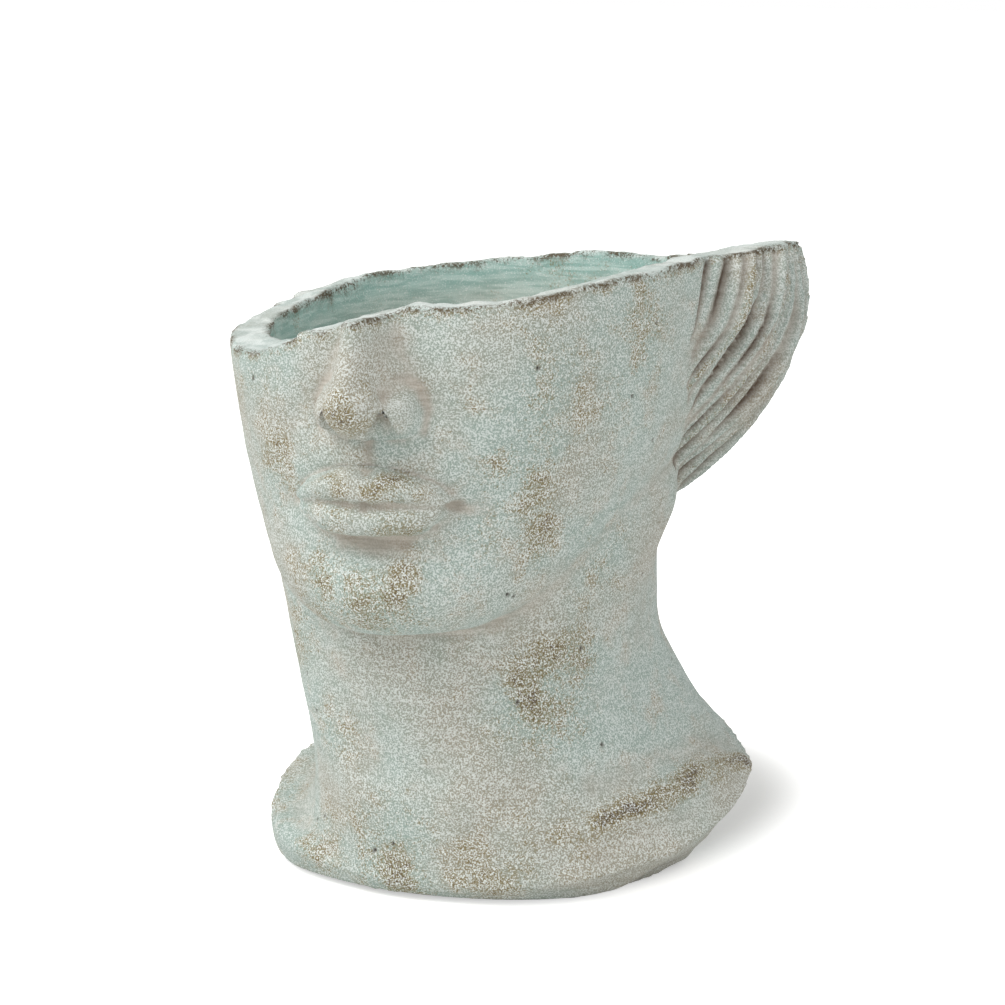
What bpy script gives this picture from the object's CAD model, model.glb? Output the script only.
"""Head planter: a broken head of cast cement that holds a plant, with its drain bung and its foot pads."""
import math
import random

import bmesh
import bpy
import numpy as np
from mathutils import Euler, Matrix, Vector, noise
from mathutils.bvhtree import BVHTree


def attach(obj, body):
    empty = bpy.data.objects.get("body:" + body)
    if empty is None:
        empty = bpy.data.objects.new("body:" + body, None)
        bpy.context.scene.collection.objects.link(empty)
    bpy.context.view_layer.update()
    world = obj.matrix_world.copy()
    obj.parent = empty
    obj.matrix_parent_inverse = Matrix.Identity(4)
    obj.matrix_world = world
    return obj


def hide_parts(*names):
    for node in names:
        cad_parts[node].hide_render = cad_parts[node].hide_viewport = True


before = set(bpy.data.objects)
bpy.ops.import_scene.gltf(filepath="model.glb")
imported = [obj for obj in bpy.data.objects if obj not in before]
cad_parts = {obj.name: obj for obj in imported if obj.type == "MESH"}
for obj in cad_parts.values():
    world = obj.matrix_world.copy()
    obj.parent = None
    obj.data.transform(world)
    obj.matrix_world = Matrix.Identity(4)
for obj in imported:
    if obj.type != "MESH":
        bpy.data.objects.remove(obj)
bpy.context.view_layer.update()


# Planter shell: a hollow head of cement, broken open across the top and standing on its cut-off neck.
# It is one casting from a rubber mould, so every edge is soft, the skin is slightly uneven and small air
# bubbles leave pinholes. The face is a plain calm one, on the usual thirds.
MM = 0.001
GRAIN = 1.2          # size of the skin's quads, mm
FACE_MIDDLE = -7.0   # X of the middle of the face, mm
NECK_Y = 4.5         # Y of the middle of the neck, mm
BREAK_LOW = 158.0    # lowest height of the break across the top, mm
UNDERSIDE = 1.9      # what lies below this height is the underside of the foot, mm

clay = bmesh.new()
clay.from_mesh(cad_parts["planter_shell"].data)
bmesh.ops.remove_doubles(clay, verts=clay.verts, dist=0.005 * MM)


def press_lump(side, centre, radii, turn=(0, 0, 0)):
    """Presses one rounded lump of clay on, at this side of the middle (0 is the middle)."""
    across, back, up = centre
    place = Matrix.LocRotScale(
        Vector((FACE_MIDDLE + side * across, back, up)) * MM,
        Euler((math.radians(turn[0]), math.radians(side * turn[1]), math.radians(side * turn[2]))),
        Vector(radii) * MM,
    )
    bmesh.ops.create_uvsphere(clay, u_segments=32, v_segments=20, radius=1, matrix=place)


press_lump(0, (0, -98.0, 160.0), (8.8, 9.0, 8.2))                  # tip of the nose
press_lump(0, (0, -93.5, 154.0), (3.4, 9.0, 4.0), (14, 0, 0))      # wall between the nostrils
press_lump(0, (0, -86.0, 132.4), (5.5, 3.6, 4.0))                  # middle of the upper lip
press_lump(0, (0, -83.2, 128.6), (24.0, 4.9, 4.6))                 # between the lips
for side in (-1, 1):
    press_lump(side, (10.6, -86.5, 157.0), (5.0, 10.5, 5.8), (0, 0, -16))     # wing of the nose
    press_lump(side, (10.5, -82.8, 132.4), (14.5, 5.6, 4.3), (0, 12, 13))     # upper lip
    press_lump(side, (7.0, -83.4, 124.2), (13.5, 6.0, 5.2), (0, -7, 9))       # lower lip

cement_head = bpy.data.objects.new("cement_head", bpy.data.meshes.new("cement_head"))
bpy.context.scene.collection.objects.link(cement_head)
clay.to_mesh(cement_head.data)
clay.free()
fuse = cement_head.modifiers.new("fuse", "REMESH")
fuse.mode = "VOXEL"
fuse.voxel_size = GRAIN * MM
blend = cement_head.modifiers.new("blend", "SMOOTH")
blend.factor = 0.5
blend.iterations = 4


def settle():
    """Applies the head's modifiers to its mesh."""
    done = bpy.data.meshes.new_from_object(cement_head.evaluated_get(bpy.context.evaluated_depsgraph_get()))
    cement_head.modifiers.clear()
    cement_head.data = done


def read_skin():
    """The places of the skin's points in mm, and which way each faces."""
    points = cement_head.data.vertices
    places, facings = np.empty(len(points) * 3, np.float32), np.empty(len(points) * 3, np.float32)
    points.foreach_get("co", places)
    points.foreach_get("normal", facings)
    return places.reshape(-1, 3).astype(float) / MM, facings.reshape(-1, 3).astype(float)


def write_skin(places):
    """Puts the skin's points at these places in mm, and says which way each faces then."""
    cement_head.data.vertices.foreach_set("co", (places * MM).astype(np.float32).ravel())
    cement_head.data.update()
    return read_skin()[1]


def zones(places, facings):
    """Which points are on the break across the top, and which are inside the hollow."""
    on_nose = (np.abs(places[:, 0] - FACE_MIDDLE) < 24) & (places[:, 1] < -78) & (places[:, 2] < 178)
    looks_up = facings[:, 2] > np.where(places[:, 0] < 0, 0.42, 0.68)
    on_break = looks_up & (places[:, 2] > BREAK_LOW) & ~on_nose
    mesh = cement_head.data
    tree = BVHTree.FromPolygons([v.co for v in mesh.vertices], [p.vertices for p in mesh.polygons])
    in_hollow = np.zeros(len(places), bool)
    to_axis = np.array((FACE_MIDDLE, NECK_Y, 0)) - places
    to_axis[:, 2] = 0
    looks_in = ((facings * to_axis).sum(axis=1) > 0) & ~on_break
    for index in np.flatnonzero((places[:, 2] > 18) & (looks_in | (facings[:, 2] > 0.7))):
        start = Vector((places[index] + facings[index] * 0.6) * MM)
        way = Vector(to_axis[index] * MM)
        in_hollow[index] = tree.ray_cast(start, way.normalized(), max(way.length - 0.002, 0.001))[0] is None
    return on_break, in_hollow & ~on_break


settle()
places, facings = read_skin()
on_break, in_hollow = zones(places, facings)
under_foot = (places[:, 2] < 20) & (np.hypot(places[:, 0] - FACE_MIDDLE, places[:, 1] - NECK_Y) < 48)
coarse = cement_head.vertex_groups.new(name="coarse")
coarse.add(np.flatnonzero(in_hollow | under_foot).tolist(), 1.0, "REPLACE")
thin_out = cement_head.modifiers.new("thin_out", "DECIMATE")
thin_out.vertex_group = "coarse"
thin_out.ratio = 1 - 0.8 * (in_hollow | under_foot).mean()
settle()
cement_head.vertex_groups.clear()

places, facings = read_skin()
on_break, in_hollow = zones(places, facings)
outside = ~in_hollow & ~on_break
ends = np.empty(len(cement_head.data.edges) * 2, np.int32)
cement_head.data.edges.foreach_get("vertices", ends)
ends = ends.reshape(-1, 2)
neighbours = np.bincount(ends.ravel(), minlength=len(places))


def even_out(values, rounds):
    """Averages values over the neighbours again and again, as a thumb evens out clay."""
    first, second = ends[:, 0], ends[:, 1]
    for _ in range(rounds):
        total = np.stack([
            np.bincount(first, column[second], len(places)) + np.bincount(second, column[first], len(places))
            for column in values.T
        ], axis=1)
        values = (values + total / neighbours[:, None]) / 2
    return values


# Hair: the locks swing back from the break and then sweep forward on their way down. Each row gives the rise
# from nape to top, the width and the reach back as shares, and the sweep.
HAIR_Y, NAPE, HAIR_RISE = 42.5, 106.0, 110.0            # middle, lowest point and height of the hair, mm
HAIR_SIDE, HAIR_FRONT, HAIR_BACK = 88.0, 62.0, 65.0     # reach to each side, to the front and to the back, mm
LOCK_SWEEP = math.radians(36)
HAIR_SQUARE = 2.2                                       # how square the hair is in plan: 2 is an ellipse
hair_rows = np.array((
    (0.00, 0.44, 0.34, 1.00), (0.14, 0.62, 0.57, 0.95), (0.30, 0.82, 0.81, 0.78), (0.46, 0.955, 0.95, 0.52),
    (0.62, 1.00, 1.00, 0.18), (0.80, 0.965, 1.00, -0.08), (1.00, 0.93, 0.97, 0.00),
))
lock_edges = np.cumsum((0, 0.14, 0.15, 0.13, 0.10, 0.13, 0.12, 0.11, 0.12))
rise = (places[:, 2] - NAPE) / HAIR_RISE
wide, deep, sweep = (np.interp(rise, hair_rows[:, 0], hair_rows[:, column]) for column in (1, 2, 3))
across = np.abs(places[:, 0]) / (HAIR_SIDE * wide)
along = (HAIR_Y - places[:, 1]) / np.where(places[:, 1] < HAIR_Y, HAIR_FRONT * wide, HAIR_BACK * deep)
girth = (across ** HAIR_SQUARE + np.abs(along) ** HAIR_SQUARE) ** (1 / HAIR_SQUARE)
turn = np.arctan2(across ** (HAIR_SQUARE / 2), np.sign(along) * np.abs(along) ** (HAIR_SQUARE / 2))
root_turn = turn.copy()
for _ in range(15):
    root_turn = turn + LOCK_SWEEP * sweep * np.sin(root_turn)
way_round = np.clip(root_turn / math.pi, 0, 0.9999)
lock = np.searchsorted(lock_edges, way_round, side="right") - 1
lock = np.clip(lock, 0, len(lock_edges) - 2)
over = (way_round - lock_edges[lock]) / (lock_edges[lock + 1] - lock_edges[lock])
in_hair = np.clip((1.035 - girth) / 0.025, 0, 1) * np.clip(rise / 0.04, 0, 1) * outside * (places[:, 1] > -6)

# The cheeks, the jaw, the neck and the foot are rubbed smooth, all but the middle of the face, and the edge
# of the foot is drawn out to a ridge again.
on_features = (np.abs(places[:, 0] - FACE_MIDDLE) < 36) & (places[:, 1] < -62) & (places[:, 2] > 110)
rubbed = (outside & ~on_features & (places[:, 2] > UNDERSIDE)) * (1 - in_hair)
rubbed = (rubbed * np.where(places[:, 2] < 58, 0.3, 1))[:, None]
places += (even_out(places, 9) - places) * even_out(rubbed, 2)
ridge = np.clip((64 - places[:, 2]) / 10, 0, 1) * (outside & (places[:, 2] > 6))
places += 0.7 * even_out(places - even_out(places, 12), 2) * even_out(ridge[:, None], 3)
facings = write_skin(places)
x, y, z = (places[:, 0] - FACE_MIDDLE), places[:, 1], places[:, 2]


def lobe(centre, radii):
    """A soft round weight, 1 at the centre."""
    return np.exp(-sum(((axis - c) / r) ** 2 for axis, c, r in zip((x, y, z), centre, radii)))


def stroke(points, width, flat=True):
    """A soft weight along a line: on the front of the face as (x, z), or through space as (x, y, z)."""
    axes = np.stack((x, z) if flat else (x, y, z), axis=1)
    nearest = np.full(len(places), 1e9)
    for start, end in zip(np.array(points[:-1], float), np.array(points[1:], float)):
        run = end - start
        share = np.clip((axes - start) @ run / (run @ run), 0, 1)
        nearest = np.minimum(nearest, ((axes - start - share[:, None] * run) ** 2).sum(axis=1))
    weight = np.exp(-nearest / width ** 2)
    return weight * (outside & (y < -55) & (facings[:, 1] < 0.2)) if flat else weight * outside


# The larger forms of the face and the neck, each pushed out or in by a few millimetres.
foot_ridge = [(56, -39, 26), (66, -28, 29), (75, -8, 33), (82, 26, 33)]    # along the edge of the foot, mm
swell = 3.0 * lobe((0, -84, 133), (25, 22, 17)) + 3.4 * lobe((0, -84, 101), (16, 16, 11))
swell -= 1.8 * lobe((0, -83, 114.5), (17, 14, 5.0))
for side in (-1, 1):
    swell += 2.6 * lobe((side * 37, -68, 160), (22, 24, 24))
    swell += 2.4 * stroke([(side * 50, 14, 118), (side * 40, -18, 78), (side * 17, -50, 34)], 10, flat=False)
    swell -= 1.6 * stroke([(side * 30, -48, 84), (side * 12, -56, 44)], 9, flat=False)
    swell -= 1.2 * lobe((side * 27, -78, 127), (7, 12, 7))
swell += 3.0 * lobe((56, 28, 68), (16, 34, 14)) - 5.0 * lobe((58, 28, 99), (16, 34, 13))
swell += 3.0 * lobe((-56, -20, 8), (20, 30, 9)) - 1.5 * lobe((82, 40, 49), (16, 44, 7))
above_ridge = [(a - 3, b + 3, c + 11) for a, b, c in foot_ridge]
below_ridge = [(a, b, c - 11) for a, b, c in foot_ridge]
swell += 1.4 * stroke(foot_ridge, 5, flat=False) - 1.6 * stroke(above_ridge, 6, flat=False)
swell -= 4.0 * lobe((86, 45, 40), (14, 34, 6)) + 1.2 * stroke(below_ridge, 6, flat=False)
places += facings * (swell * outside * (places[:, 2] > UNDERSIDE))[:, None]

# The underside slopes up to the rim of the foot at the front right.
FOOT_SIDE, FOOT_FRONT, FOOT_MIDDLE = 64, 52, 5          # reach of the foot's oval and X of its middle, mm
rim_girth = np.hypot((x - FOOT_MIDDLE) / FOOT_SIDE, y / FOOT_FRONT)
rim_turn = np.arctan2(y / FOOT_FRONT, (x - FOOT_MIDDLE) / FOOT_SIDE)
lift = 5.0 * np.clip((rim_girth - 0.9) / 0.1, 0, 1) * np.exp(-((rim_turn + 0.22) / 0.32) ** 2)
places[:, 2] += lift * np.clip((14 - z) / 12, 0, 1)
facings = write_skin(places)

# The smaller forms, on both sides of the middle: how far out in mm, the width in mm, and the line as (x, z).
cut = -1.1 * stroke([(0, 139.5), (0, 149.5)], 2.4)
cut -= 0.8 * stroke([(-9, 117.0), (0, 116.4), (9, 117.0)], 3.0)
face_lines = (
    (-1.7, 1.5, ((0, 128.6), (9, 129.4), (17, 129.2), (25, 128.2))),         # line of the mouth
    (0.7, 1.5, ((1, 136.4), (4.5, 137.8), (13, 135.4), (23, 129.8))),        # edge of the upper lip
    (-0.6, 1.6, ((1, 139.0), (4.6, 140.6), (14, 138.0), (24, 132.0))),       # above it
    (-0.7, 1.8, ((0, 117.8), (10, 118.6), (18, 122.4))),                     # under the lower lip
    (0.6, 1.6, ((4.4, 140), (4.0, 149))),                                    # edge of the groove above it
    (-1.0, 1.8, ((10.5, 167), (15.6, 164), (17.6, 157), (16.4, 150.5))),     # behind the wing of the nose
    (-0.5, 2.0, ((8.2, 164), (8.6, 157), (7.6, 152))),                       # between the wing and the tip
    (-0.9, 4.5, ((21, 160), (26, 150), (31, 138), (32, 128))),               # fold from nose to mouth
    (-0.8, 2.0, ((24.5, 128.3), (27.5, 127.0))),                             # corner of the mouth
)
for side in (-1, 1):
    for height, width, line in face_lines:
        cut += height * stroke([(side * across, up) for across, up in line], width)
places += facings * cut[:, None]
for side in (-1, 1):
    reach = np.clip(1 - ((x - side * 6.9) / 4.2) ** 2 - ((y + 93.0) / 6.0) ** 2, 0, 1)
    places[:, 2] += 6.0 * reach ** 0.7 * ((facings[:, 2] < -0.2) & (z > 145) & (z < 159))
facings = write_skin(places)

# Each lock has four strands, which rise and sink along their way, and the grooves between them open into
# deep hollows here and there.
STRANDS = 4
cut_at = STRANDS * over
strand = np.floor(cut_at)
over_strand = cut_at - strand
kind = lock * STRANDS + strand
body = np.sqrt(np.sin(math.pi * over_strand))
carve = 1.4 * (body - 0.75) + 0.9 * (over_strand - 0.5)
carve += 0.7 * np.sin(12.9 * kind) + 1.0 * np.sin(2 * math.pi * (1.6 * rise + 0.618 * kind)) * body
nearest_cut = np.round(cut_at)
opening = np.clip(np.sin(2 * math.pi * (1.7 * rise + 0.29 * lock + 0.43 * nearest_cut)) - 0.2, 0, 1)
carve -= 2.6 * opening * np.exp(-((cut_at - nearest_cut) / 0.26) ** 2)
soft_facings = even_out(facings, 4)
places += soft_facings * (carve * in_hair)[:, None]
places += (even_out(places, 2) - places) * in_hair[:, None]
facings = write_skin(places)

# The break is rough, the casting is a little uneven, and the foot more so.
FOOT_TOP = 48.0      # the foot ends at this height, mm
random.seed(31)
noise.seed_set(31)
for index in np.flatnonzero(~in_hollow & (places[:, 2] > 2.4)):
    spot = Vector(places[index])
    rough = 0.45 * noise.noise(spot / 24) + 0.16 * noise.noise(spot / 7)
    if on_break[index]:
        rough += 0.8 * noise.fractal(spot / 11, 0.9, 2.1, 4)
    elif spot.z < FOOT_TOP:
        rough += (1 - spot.z / FOOT_TOP) * noise.noise(spot / 15 + Vector((7, 3, 1))) * 1.3
    places[index] += facings[index] * rough
HOLES, HOLE_DEPTH = 46, 0.9     # how many pinholes there are, and their depth in mm
pinholes = np.zeros(len(places))
plain_skin = outside & ~on_features & (in_hair < 0.5) & (places[:, 2] > 4)
holes = random.sample(np.flatnonzero(plain_skin).tolist(), HOLES)
places[holes] -= facings[holes] * HOLE_DEPTH
pinholes[holes] = 1
facings = write_skin(places)

# What the finish follows, kept on the skin: creases, deep hollows, the hollow inside, the break, its edges,
# the worn places and the pinholes. A worn spot is a centre and a radius in mm, and how worn it is, and its
# edge is ragged.
even = even_out(places, 10)
fine = ((even - places) * facings).sum(axis=1)
broad = ((even_out(even, 50) - places) * facings).sum(axis=1)
worn_spots = (
    ((-7, -106, 158), 9, 1.0), ((-20, -88, 135), 8, 0.8), ((2, -88, 136), 8, 0.8),
    ((3, -89, 122), 9, 0.9), ((-16, -88, 123), 7, 0.7), ((-4, -88, 99), 15, 0.8),
    ((-26, -80, 100), 13, 0.7), ((35, -62, 124), 15, 0.8), ((31, -66, 138), 11, 0.5),
    ((43, -60, 159), 24, 0.5), ((60, -34, 180), 17, 0.6), ((38, -62, 180), 14, 0.5),
    ((-40, -72, 140), 14, 0.6), ((-50, -60, 160), 15, 0.5), ((38, -40, 78), 12, 1.0),
    ((32, -45, 62), 15, 1.0), ((46, -30, 106), 14, 0.4), ((-10, -55, 11), 18, 0.9),
    ((-41, -43, 10), 14, 0.6), ((22, -54, 12), 16, 0.6), ((40, -44, 24), 12, 0.7),
    ((74, 14, 40), 10, 0.5), ((-47, -40, 80), 12, 0.8), ((-31, -50, 51), 12, 0.5),
    ((-70, -8, 20), 16, 0.5), ((-60, 60, 120), 26, 0.6), ((0, 90, 150), 26, 0.6),
    ((0, 70, 60), 24, 0.6), ((-60, 30, 40), 20, 0.6), ((70, 50, 60), 16, 0.6),
    ((-75, -10, 150), 20, 0.5),
)
ragged = places + 9 * np.array([noise.noise_vector(Vector(place) / 13) for place in places])
worn = 0.7 * in_hair * np.clip(np.sin(7.7 * kind) * body ** 4, 0, 1)
for centre, size, weight in worn_spots:
    worn = np.maximum(worn, weight * np.exp(-((ragged - np.array(centre)) ** 2).sum(axis=1) / size ** 2))
x, y, z = (0.7 * places + 0.3 * ragged - np.array((FACE_MIDDLE, 0, 0))).T
worn = np.maximum(worn, 1.2 * stroke(foot_ridge, 4.5, flat=False))
broken = even_out(on_break.astype(float)[:, None], 3)[:, 0]
torn = np.zeros((len(places), 1))
torn[ends[on_break[ends[:, 0]] != on_break[ends[:, 1]]].ravel()] = 1
torn[even_out(on_break.astype(float)[:, None], 8) < 0.25] = 0
creased = np.clip(0.5 * np.clip(fine / 0.5, 0, 1) + 0.7 * np.clip(broad / 1.6, 0, 1), 0, 1)
from_cut = np.abs(cut_at - nearest_cut)
between_locks = nearest_cut % STRANDS == 0
worn = np.maximum(worn, 0.55 * np.clip(4 * even_out(torn, 9)[:, 0], 0, 1) * outside)
finish_guides = {
    "crease": np.maximum(creased, 0.9 * in_hair * np.exp(-(from_cut / 0.3) ** 2)) * (1 - broken),
    "deep": in_hair * np.exp(-(from_cut / 0.17) ** 2) * np.clip(0.25 + opening + 0.5 * between_locks, 0, 1),
    "inside": even_out(in_hollow.astype(float)[:, None], 4)[:, 0],
    "broken": broken,
    "edge": np.clip(1.8 * even_out(torn, 1)[:, 0], 0, 1),
    "worn": worn,
    "pinhole": pinholes,
}
for name, values in finish_guides.items():
    guide = cement_head.data.attributes.new(name, "FLOAT", "POINT")
    guide.data.foreach_set("value", values.astype(np.float32))
cement_head.data.polygons.foreach_set("use_smooth", [True] * len(cement_head.data.polygons))


def linear(hex_colour):
    """An sRGB hex colour as linear red, green, blue and alpha."""
    parts = [int(hex_colour[i:i + 2], 16) / 255 for i in (1, 3, 5)]
    return tuple(p / 12.92 if p <= 0.04045 else ((p + 0.055) / 1.055) ** 2.4 for p in parts) + (1.0,)


def add_node(tree, kind, settings, inputs):
    """Adds one node, with its settings by name and its inputs by name or number, as values or as sockets."""
    node = tree.nodes.new(kind)
    for name, value in settings.items():
        setattr(node, name, value)
    for key, value in inputs.items():
        if isinstance(value, bpy.types.NodeSocket):
            tree.links.new(value, node.inputs[key])
        else:
            node.inputs[key].default_value = value
    return node


# Verdigris cement: cement coloured grey-green, sponged with pale lime wash and rubbed back, so that the wash
# stays as a dense grain of pale flecks, the grey-green shows between them, and olive brown where it is worn.
cement = bpy.data.materials.new("verdigris_cement")
cement.use_nodes = True
tree = cement.node_tree
tree.nodes.clear()
spot = add_node(tree, "ShaderNodeTexCoord", {}, {}).outputs["Object"]
guides = {
    name: add_node(tree, "ShaderNodeAttribute", {"attribute_name": name}, {}).outputs["Fac"]
    for name in finish_guides
}
# Sponge grain of about 0.5 mm, specks of 0.8 mm, clouds of 10 mm, blotches of 40 mm, and brush streaks that
# run level, about 14 mm long and 1.6 mm high.
grain = add_node(tree, "ShaderNodeTexNoise", {},
                 {"Vector": spot, "Scale": 1000 / 0.5, "Detail": 2.0, "Roughness": 0.6}).outputs["Fac"]
speck = add_node(tree, "ShaderNodeTexNoise", {},
                 {"Vector": spot, "Scale": 1000 / 0.8, "Detail": 3.0, "Roughness": 0.65}).outputs["Fac"]
cloud = add_node(tree, "ShaderNodeTexNoise", {},
                 {"Vector": spot, "Scale": 1000 / 10, "Detail": 4.0, "Roughness": 0.65}).outputs["Fac"]
blotch = add_node(tree, "ShaderNodeTexNoise", {},
                  {"Vector": spot, "Scale": 1000 / 40, "Detail": 3.0}).outputs["Fac"]
brushed = add_node(tree, "ShaderNodeMapping", {},
                   {"Vector": spot, "Scale": (1 / 14, 1 / 14, 1 / 1.6)}).outputs[0]
streak = add_node(tree, "ShaderNodeTexNoise", {},
                  {"Vector": brushed, "Scale": 1000.0, "Detail": 3.0, "Distortion": 0.6}).outputs["Fac"]
brush = add_node(tree, "ShaderNodeMapRange", {"interpolation_type": "SMOOTHSTEP"},
                 {"Value": streak, "From Min": 0.35, "From Max": 0.65}).outputs[0]

# The coloured cement: aqua, warm grey and a pinkish beige in blotches and clouds, greener inside.
blotched = add_node(tree, "ShaderNodeMapRange", {"interpolation_type": "SMOOTHSTEP"},
                    {"Value": blotch, "From Min": 0.36, "From Max": 0.66}).outputs[0]
ground = add_node(tree, "ShaderNodeMix", {"data_type": "RGBA"},
                  {0: blotched, 6: linear("#99A9A1"), 7: linear("#9D998A")}).outputs[2]
clouded = add_node(tree, "ShaderNodeMapRange", {"interpolation_type": "SMOOTHSTEP"},
                   {"Value": cloud, "From Min": 0.50, "From Max": 0.72, "To Max": 0.6}).outputs[0]
ground = add_node(tree, "ShaderNodeMix", {"data_type": "RGBA"},
                  {0: clouded, 6: ground, 7: linear("#B0A99C")}).outputs[2]
lining = add_node(tree, "ShaderNodeMix", {"data_type": "RGBA"},
                  {0: brush, 6: linear("#97BAB2"), 7: linear("#BAD2CB")}).outputs[2]
ground = add_node(tree, "ShaderNodeMix", {"data_type": "RGBA"},
                  {0: guides["inside"], 6: ground, 7: lining}).outputs[2]

# Olive brown specks, few on the whole skin and many where it is worn, with dark ones among them.
rubbed = add_node(tree, "ShaderNodeMath", {"operation": "MULTIPLY_ADD"},
                  {0: guides["worn"], 1: 0.42, 2: speck}).outputs[0]
rubbed = add_node(tree, "ShaderNodeMath", {"operation": "MULTIPLY_ADD"},
                  {0: cloud, 1: 0.9, 2: rubbed}).outputs[0]
ochre = add_node(tree, "ShaderNodeMapRange", {"interpolation_type": "SMOOTHSTEP"},
                 {"Value": rubbed, "From Min": 1.04, "From Max": 1.34, "To Max": 0.9}).outputs[0]
coat = add_node(tree, "ShaderNodeMix", {"data_type": "RGBA"},
                {0: ochre, 6: ground, 7: linear("#86784F")}).outputs[2]
umber = add_node(tree, "ShaderNodeMapRange", {"interpolation_type": "SMOOTHSTEP"},
                 {"Value": rubbed, "From Min": 1.26, "From Max": 1.52, "To Max": 0.9}).outputs[0]
coat = add_node(tree, "ShaderNodeMix", {"data_type": "RGBA"},
                {0: umber, 6: coat, 7: linear("#57493A")}).outputs[2]

# The wash: fine pale flecks over everything, in brush streaks, thinner where it is worn and inside.
thinned = add_node(tree, "ShaderNodeMath", {"operation": "MULTIPLY_ADD"},
                   {0: guides["worn"], 1: -0.05, 2: grain}).outputs[0]
thinned = add_node(tree, "ShaderNodeMath", {"operation": "MULTIPLY_ADD"},
                   {0: streak, 1: 0.14, 2: thinned}).outputs[0]
thinned = add_node(tree, "ShaderNodeMath", {"operation": "MULTIPLY_ADD"},
                   {0: guides["inside"], 1: -0.10, 2: thinned}).outputs[0]
cover = add_node(tree, "ShaderNodeMath", {"operation": "MULTIPLY_ADD"},
                 {0: ochre, 1: 0.3, 2: 0.68}).outputs[0]
flecks = add_node(tree, "ShaderNodeMapRange", {"interpolation_type": "SMOOTHSTEP"},
                  {"Value": thinned, "From Min": 0.50, "From Max": 0.66, "To Max": cover}).outputs[0]
coat = add_node(tree, "ShaderNodeMix", {"data_type": "RGBA"},
                {0: flecks, 6: coat, 7: linear("#E9EEEB")}).outputs[2]

# Creases hold smooth beige paint in brush streaks and the deep hollows in the hair dark brown. The break is
# pale with dark speckled edges, and the pinholes are nearly black.
beige = add_node(tree, "ShaderNodeMix", {"data_type": "RGBA"},
                 {0: brush, 6: linear("#A69C90"), 7: linear("#C0B8AD")}).outputs[2]
creased = add_node(tree, "ShaderNodeMath", {"operation": "MULTIPLY"},
                   {0: guides["crease"], 1: 0.8}).outputs[0]
coat = add_node(tree, "ShaderNodeMix", {"data_type": "RGBA"}, {0: creased, 6: coat, 7: beige}).outputs[2]
coat = add_node(tree, "ShaderNodeMix", {"data_type": "RGBA"},
                {0: guides["deep"], 6: coat, 7: linear("#4C3D30")}).outputs[2]
bare = add_node(tree, "ShaderNodeMath", {"operation": "MULTIPLY"},
                {0: guides["broken"], 1: 0.65}).outputs[0]
pale = add_node(tree, "ShaderNodeMix", {"data_type": "RGBA"},
                {0: brush, 6: linear("#B4BFBA"), 7: linear("#DFE5E1")}).outputs[2]
coat = add_node(tree, "ShaderNodeMix", {"data_type": "RGBA"}, {0: bare, 6: coat, 7: pale}).outputs[2]
chips = add_node(tree, "ShaderNodeMath", {"operation": "ADD"}, {0: speck, 1: cloud}).outputs[0]
chips = add_node(tree, "ShaderNodeMapRange", {"interpolation_type": "SMOOTHSTEP"},
                 {"Value": chips, "From Min": 0.90, "From Max": 1.10, "To Max": 0.9}).outputs[0]
chipped = add_node(tree, "ShaderNodeMath", {"operation": "MULTIPLY"},
                   {0: guides["edge"], 1: chips}).outputs[0]
coat = add_node(tree, "ShaderNodeMix", {"data_type": "RGBA"},
                {0: chipped, 6: coat, 7: linear("#54452F")}).outputs[2]
coat = add_node(tree, "ShaderNodeMix", {"data_type": "RGBA"},
                {0: guides["pinhole"], 6: coat, 7: linear("#2A241E")}).outputs[2]
height = add_node(tree, "ShaderNodeMath", {"operation": "ADD"}, {0: grain, 1: cloud}).outputs[0]
bump = add_node(tree, "ShaderNodeBump", {},
                {"Strength": 0.35, "Distance": 0.4 * MM, "Height": height}).outputs["Normal"]
shader = add_node(tree, "ShaderNodeBsdfPrincipled", {},
                  {"Base Color": coat, "Roughness": 0.88, "Specular IOR Level": 0.25, "Normal": bump})
add_node(tree, "ShaderNodeOutputMaterial", {}, {"Surface": shader.outputs["BSDF"]})
cement_head.data.materials.append(cement)
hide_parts("planter_shell")
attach(cement_head, "planter")


# Drain bung: a plug of black moulded rubber with a flange and a pull knob, pushed into the hole in the floor
# from inside. Its skin has a fine matt grain, of about 0.6 mm, from the mould.
rubber = bpy.data.materials.new("moulded_rubber")
rubber.use_nodes = True
tree = rubber.node_tree
tree.nodes.clear()
spot = add_node(tree, "ShaderNodeTexCoord", {}, {}).outputs["Object"]
mould_grain = add_node(tree, "ShaderNodeTexNoise", {},
                       {"Vector": spot, "Scale": 1000 / 0.6, "Detail": 3.0}).outputs["Fac"]
bloom = add_node(tree, "ShaderNodeMix", {"data_type": "RGBA"},
                 {0: mould_grain, 6: linear("#333536"), 7: linear("#494B4C")}).outputs[2]
bump = add_node(tree, "ShaderNodeBump", {},
                {"Strength": 0.3, "Distance": 0.2 * MM, "Height": mould_grain}).outputs["Normal"]
shader = add_node(tree, "ShaderNodeBsdfPrincipled", {},
                  {"Base Color": bloom, "Roughness": 0.62, "Normal": bump})
add_node(tree, "ShaderNodeOutputMaterial", {}, {"Surface": shader.outputs["BSDF"]})
drain_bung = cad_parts["drain_bung"]
drain_bung.data.materials.clear()
drain_bung.data.materials.append(rubber)


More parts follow.
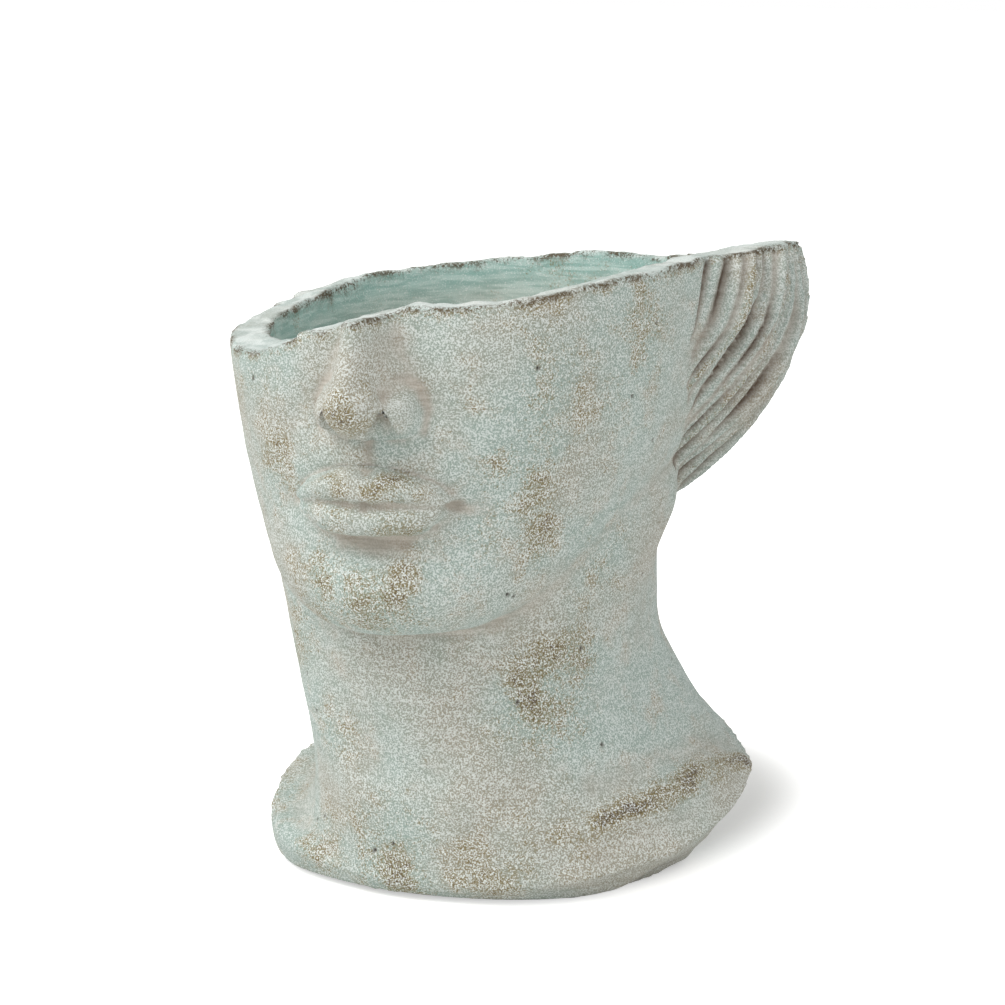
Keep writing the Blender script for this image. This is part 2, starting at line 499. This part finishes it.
# Foot pads: four discs of dark closed-cell foam with a sticky back, cut from sheet and pressed on under the
# foot. The foam's cells are about 0.5 mm.
foam = bpy.data.materials.new("closed_cell_foam")
foam.use_nodes = True
tree = foam.node_tree
tree.nodes.clear()
spot = add_node(tree, "ShaderNodeTexCoord", {}, {}).outputs["Object"]
cells = add_node(tree, "ShaderNodeTexVoronoi", {},
                 {"Vector": spot, "Scale": 1000 / 0.5}).outputs["Distance"]
skin = add_node(tree, "ShaderNodeMix", {"data_type": "RGBA"},
                {0: cells, 6: linear("#262625"), 7: linear("#484845")}).outputs[2]
bump = add_node(tree, "ShaderNodeBump", {},
                {"Strength": 0.4, "Distance": 0.2 * MM, "Height": cells}).outputs["Normal"]
shader = add_node(tree, "ShaderNodeBsdfPrincipled", {},
                  {"Base Color": skin, "Roughness": 0.93, "Normal": bump})
add_node(tree, "ShaderNodeOutputMaterial", {}, {"Surface": shader.outputs["BSDF"]})
for number in range(1, 5):
    foot_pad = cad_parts[f"foot_pad_{number}"]
    foot_pad.data.materials.clear()
    foot_pad.data.materials.append(foam)


# The floor: a pale sheet that looks white, apart from the planter's shadow: it glows a little all over, and
# less in an oval round the foot.
floor = bpy.data.objects.new("floor", bpy.data.meshes.new("floor"))
bpy.context.scene.collection.objects.link(floor)
sheet = bmesh.new()
bmesh.ops.create_grid(sheet, x_segments=1, y_segments=1, size=6)
sheet.to_mesh(floor.data)
sheet.free()
white = bpy.data.materials.new("white_floor")
white.use_nodes = True
tree = white.node_tree
tree.nodes.clear()
light_path = add_node(tree, "ShaderNodeLightPath", {}, {}).outputs
seen = add_node(tree, "ShaderNodeMath", {"operation": "MAXIMUM"},
                {0: light_path["Is Camera Ray"], 1: light_path["Is Glossy Ray"]}).outputs[0]
seen = add_node(tree, "ShaderNodeMath", {"operation": "MAXIMUM"},
                {0: seen, 1: light_path["Is Transmission Ray"]}).outputs[0]
floor_spot = add_node(tree, "ShaderNodeTexCoord", {}, {}).outputs["Object"]
oval = add_node(tree, "ShaderNodeMapping", {},
                {"Vector": floor_spot, "Location": (0.012, -0.076, 0), "Scale": (1.5, 1, 1)}).outputs[0]
out = add_node(tree, "ShaderNodeVectorMath", {"operation": "LENGTH"}, {0: oval}).outputs["Value"]
glowing = add_node(tree, "ShaderNodeMapRange", {"interpolation_type": "SMOOTHSTEP"}, {
    "Value": out, "From Min": 0.098, "From Max": 0.143, "To Min": 0.14, "To Max": 0.8,
}).outputs[0]
glowing = add_node(tree, "ShaderNodeMath", {"operation": "MULTIPLY"}, {0: seen, 1: glowing}).outputs[0]
matt = add_node(tree, "ShaderNodeBsdfDiffuse", {}, {"Color": linear("#E8E8E6")}).outputs[0]
glow = add_node(tree, "ShaderNodeEmission", {}, {"Color": (1, 1, 1, 1), "Strength": glowing}).outputs[0]
both = add_node(tree, "ShaderNodeAddShader", {}, {0: matt, 1: glow}).outputs[0]
add_node(tree, "ShaderNodeOutputMaterial", {}, {"Surface": both})
floor.data.materials.append(white)

# The studio: white all round to the camera, and an even light from everywhere.
world = bpy.data.worlds.new("studio")
world.use_nodes = True
bpy.context.scene.world = world
tree = world.node_tree
tree.nodes.clear()
light_path = add_node(tree, "ShaderNodeLightPath", {}, {}).outputs
seen = add_node(tree, "ShaderNodeMath", {"operation": "MAXIMUM"},
                {0: light_path["Is Camera Ray"], 1: light_path["Is Glossy Ray"]}).outputs[0]
seen = add_node(tree, "ShaderNodeMath", {"operation": "MAXIMUM"},
                {0: seen, 1: light_path["Is Transmission Ray"]}).outputs[0]
strength = add_node(tree, "ShaderNodeMapRange", {}, {"Value": seen, "To Min": 0.55, "To Max": 1.0}).outputs[0]
sky = add_node(tree, "ShaderNodeBackground", {}, {"Color": (1, 1, 1, 1), "Strength": strength}).outputs[0]
add_node(tree, "ShaderNodeOutputWorld", {}, {"Surface": sky})

# The lamps: a large soft one above to the left, and a weak one to the right, with their size in m and their
# power in W.
lamps = (("key_lamp", (-0.9, -0.9, 1.5), 1.5, 26), ("fill_lamp", (1.3, -0.9, 0.9), 1.2, 6))
for name, stand, size, power in lamps:
    lamp = bpy.data.lights.new(name, "AREA")
    lamp.size = size
    lamp.energy = power
    holder = bpy.data.objects.new(name, lamp)
    holder.location = stand
    holder.rotation_euler = (Vector((0, 0, 0.1)) - Vector(stand)).to_track_quat("-Z", "Y").to_euler()
    bpy.context.scene.collection.objects.link(holder)

# The camera: a little above the head and to the right of the face.
VIEW_WIDTH = 0.3216  # what the picture spans at the planter, m
SENSOR = 36.0        # mm
turn, rise, distance = math.radians(20), math.radians(10), 1.2
aim = Vector((-4.44, 22.4, 111.7)) * MM
away = Vector((math.cos(rise) * math.sin(turn), -math.cos(rise) * math.cos(turn), math.sin(rise)))
camera = bpy.data.objects.new("camera", bpy.data.cameras.new("camera"))
camera.data.sensor_width = SENSOR
camera.data.lens = SENSOR * distance / VIEW_WIDTH
camera.location = aim + away * distance
camera.rotation_euler = (-away).to_track_quat("-Z", "Y").to_euler()
bpy.context.scene.collection.objects.link(camera)
bpy.context.scene.camera = camera
bpy.context.scene.view_settings.view_transform = "Standard"
